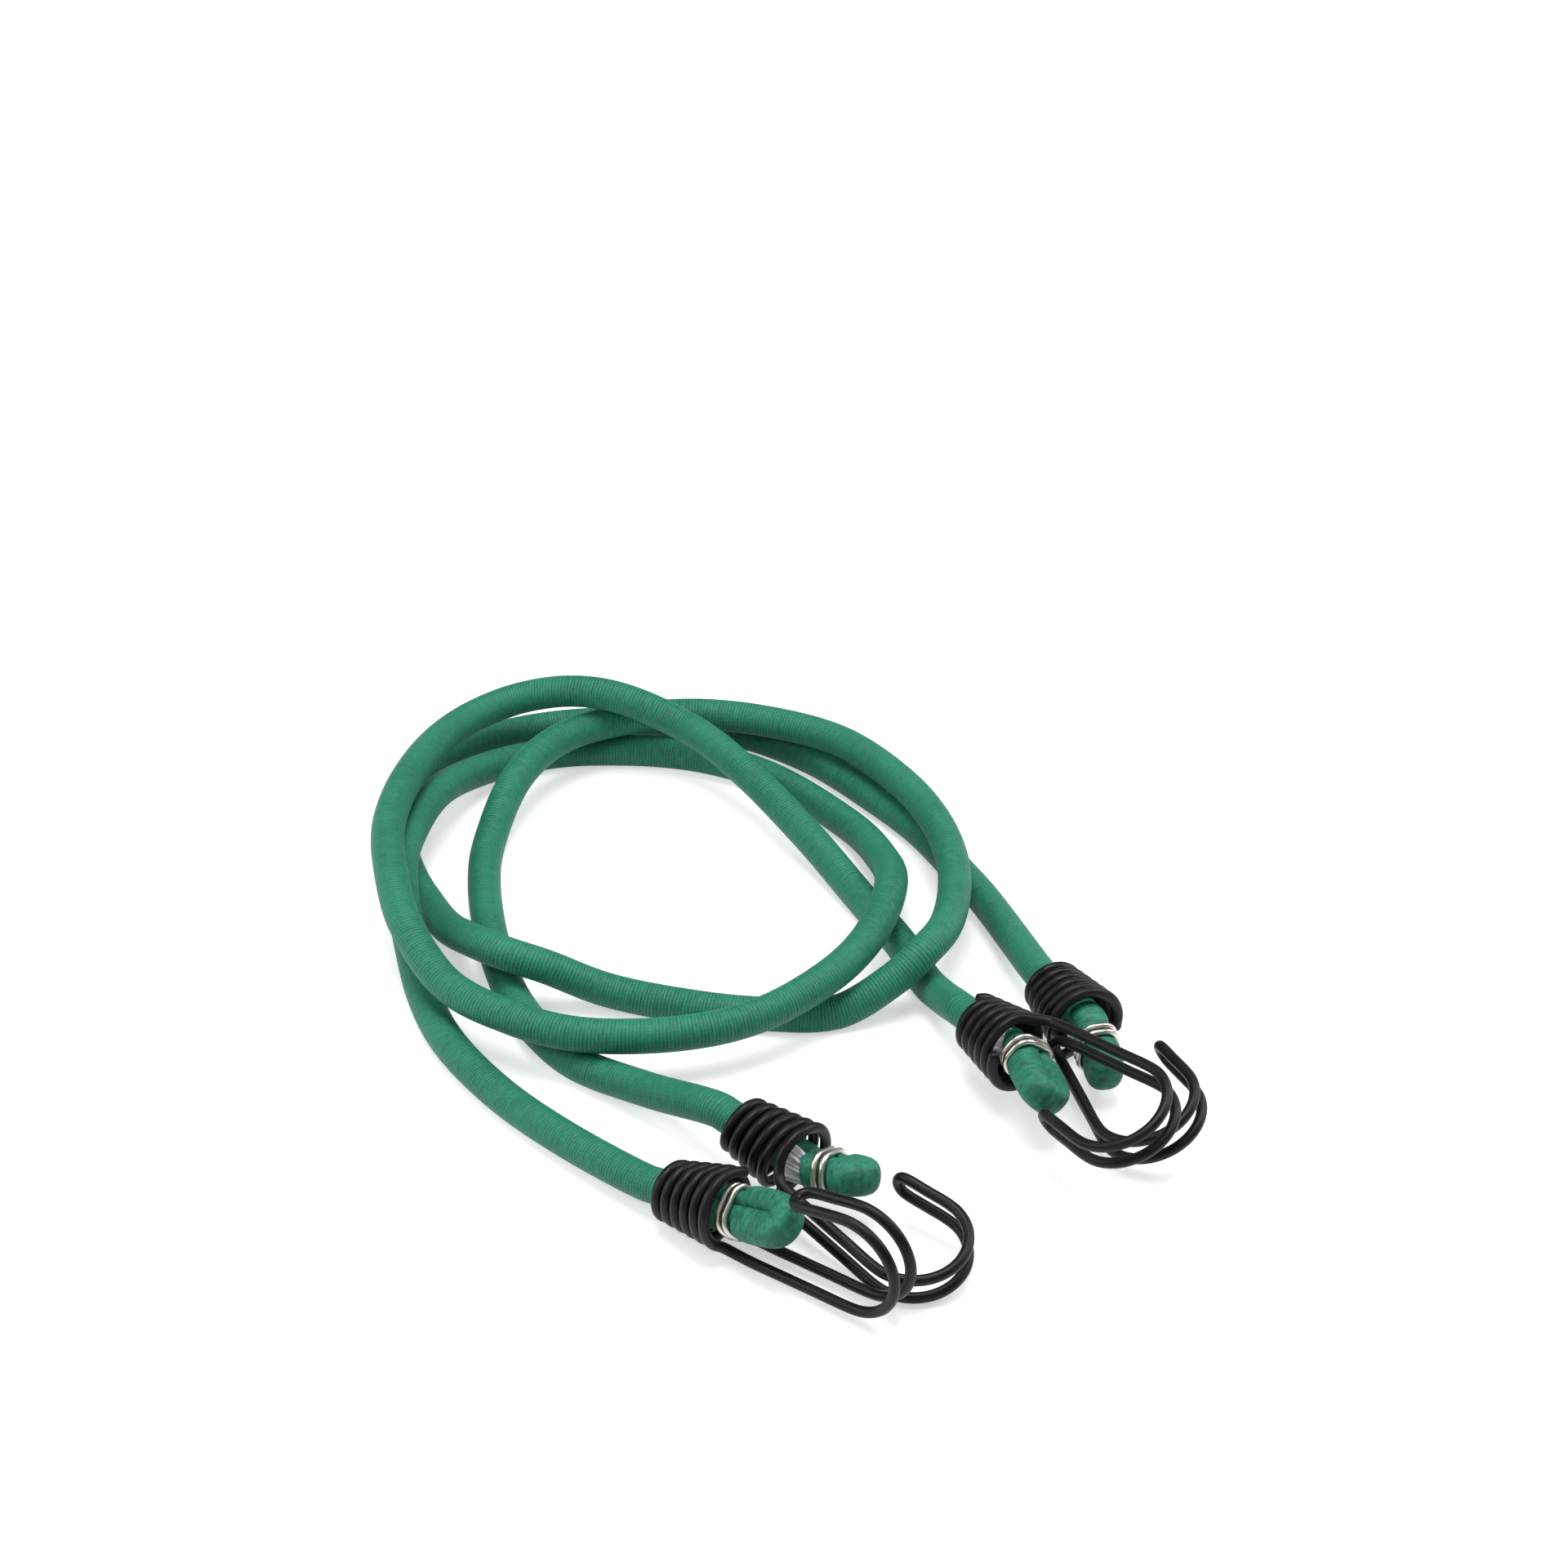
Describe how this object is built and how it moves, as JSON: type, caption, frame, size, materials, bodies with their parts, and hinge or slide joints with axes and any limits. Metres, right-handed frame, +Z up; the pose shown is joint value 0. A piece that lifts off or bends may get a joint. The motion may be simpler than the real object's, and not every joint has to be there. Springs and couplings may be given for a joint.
{
  "type": "bungee cord",
  "caption": "Elastic luggage cords laid in loose loops, each braided sleeve on a rubber core, with folded, clipped ends held in conical wire coils that run on as hooks.",
  "frame": {"origin": "on the table, under the middle of the whole lay's box", "axes": "+Z up from the table, +Y away from the viewer across the loops, +X to the viewer's right"},
  "size_m": [0.195, 0.2394, 0.0271],
  "materials": {
    "cord_sleeve": "ribbed braid",
    "cord_core": "cut latex strands",
    "hook_wire": "satin coat",
    "clip_wire": "bright drawn wire"
  },
  "bodies": {
    "cords": {"a_side_tail_sleeve": "cord_sleeve", "a_side_tail_core": "cord_core", "a_loops_sleeve": "cord_sleeve", "a_loops_core": "cord_core", "a_front_tail_sleeve": "cord_sleeve", "a_front_tail_core": "cord_core", "b_side_tail_sleeve": "cord_sleeve", "b_side_tail_core": "cord_core", "b_loops_sleeve": "cord_sleeve", "b_loops_core": "cord_core", "b_front_tail_sleeve": "cord_sleeve", "b_front_tail_core": "cord_core"},
    "a_front_end": {"a_front_fold_sleeve": "cord_sleeve", "a_front_fold_core": "cord_core", "a_front_clip": "clip_wire"},
    "a_front_hook_body": {"a_front_hook": "hook_wire"},
    "b_front_end": {"b_front_fold_sleeve": "cord_sleeve", "b_front_fold_core": "cord_core", "b_front_clip": "clip_wire"},
    "b_front_hook_body": {"b_front_hook": "hook_wire"},
    "a_side_end": {"a_side_fold_sleeve": "cord_sleeve", "a_side_fold_core": "cord_core", "a_side_clip": "clip_wire"},
    "a_side_hook_body": {"a_side_hook": "hook_wire"},
    "b_side_end": {"b_side_fold_sleeve": "cord_sleeve", "b_side_fold_core": "cord_core", "b_side_clip": "clip_wire"},
    "b_side_hook_body": {"b_side_hook": "hook_wire"}
  },
  "joints": [
    {"name": "a_front_stretch", "type": "slide", "parent": "cords", "child": "a_front_end", "axis": [0.6725, -0.6725, 0.309], "range_m": [0, 0.04], "stiffness_N_per_m": 1700, "deforming": ["a_front_tail_sleeve", "a_front_tail_core"]},
    {"name": "a_front_swivel", "type": "hinge", "parent": "a_front_end", "child": "a_front_hook_body", "pos_m": [-0.0095, -0.08813, 0.00995], "axis": [0.7855, -0.5898, 0.1874], "range_deg": [-60, 4]},
    {"name": "b_front_stretch", "type": "slide", "parent": "cords", "child": "b_front_end", "axis": [0.9182, -0.371, 0.1392], "range_m": [0, 0.04], "stiffness_N_per_m": 1700, "deforming": ["b_front_tail_sleeve", "b_front_tail_core"]},
    {"name": "b_front_swivel", "type": "hinge", "parent": "b_front_end", "child": "b_front_hook_body", "pos_m": [0.0056, -0.07233, 0.0105], "axis": [0.7621, -0.6395, -0.1011], "range_deg": [-10, 75]},
    {"name": "a_side_stretch", "type": "slide", "parent": "cords", "child": "a_side_end", "axis": [0.25, -0.933, 0.2588], "range_m": [0, 0.04], "stiffness_N_per_m": 1700, "deforming": ["a_side_tail_sleeve", "a_side_tail_core"]},
    {"name": "a_side_swivel", "type": "hinge", "parent": "a_side_end", "child": "a_side_hook_body", "pos_m": [0.056, -0.03763, 0.0133], "axis": [0.5417, -0.8341, 0.1045], "range_deg": [-6, 36]},
    {"name": "b_side_stretch", "type": "slide", "parent": "cords", "child": "b_side_end", "axis": [0.6153, -0.7875, 0.0349], "range_m": [0, 0.04], "stiffness_N_per_m": 1700, "deforming": ["b_side_tail_sleeve", "b_side_tail_core"]},
    {"name": "b_side_swivel", "type": "hinge", "parent": "b_side_end", "child": "b_side_hook_body", "pos_m": [0.0721, -0.02133, 0.0093], "axis": [0.4017, -0.9152, 0.0332], "range_deg": [0, 40]}
  ]
}
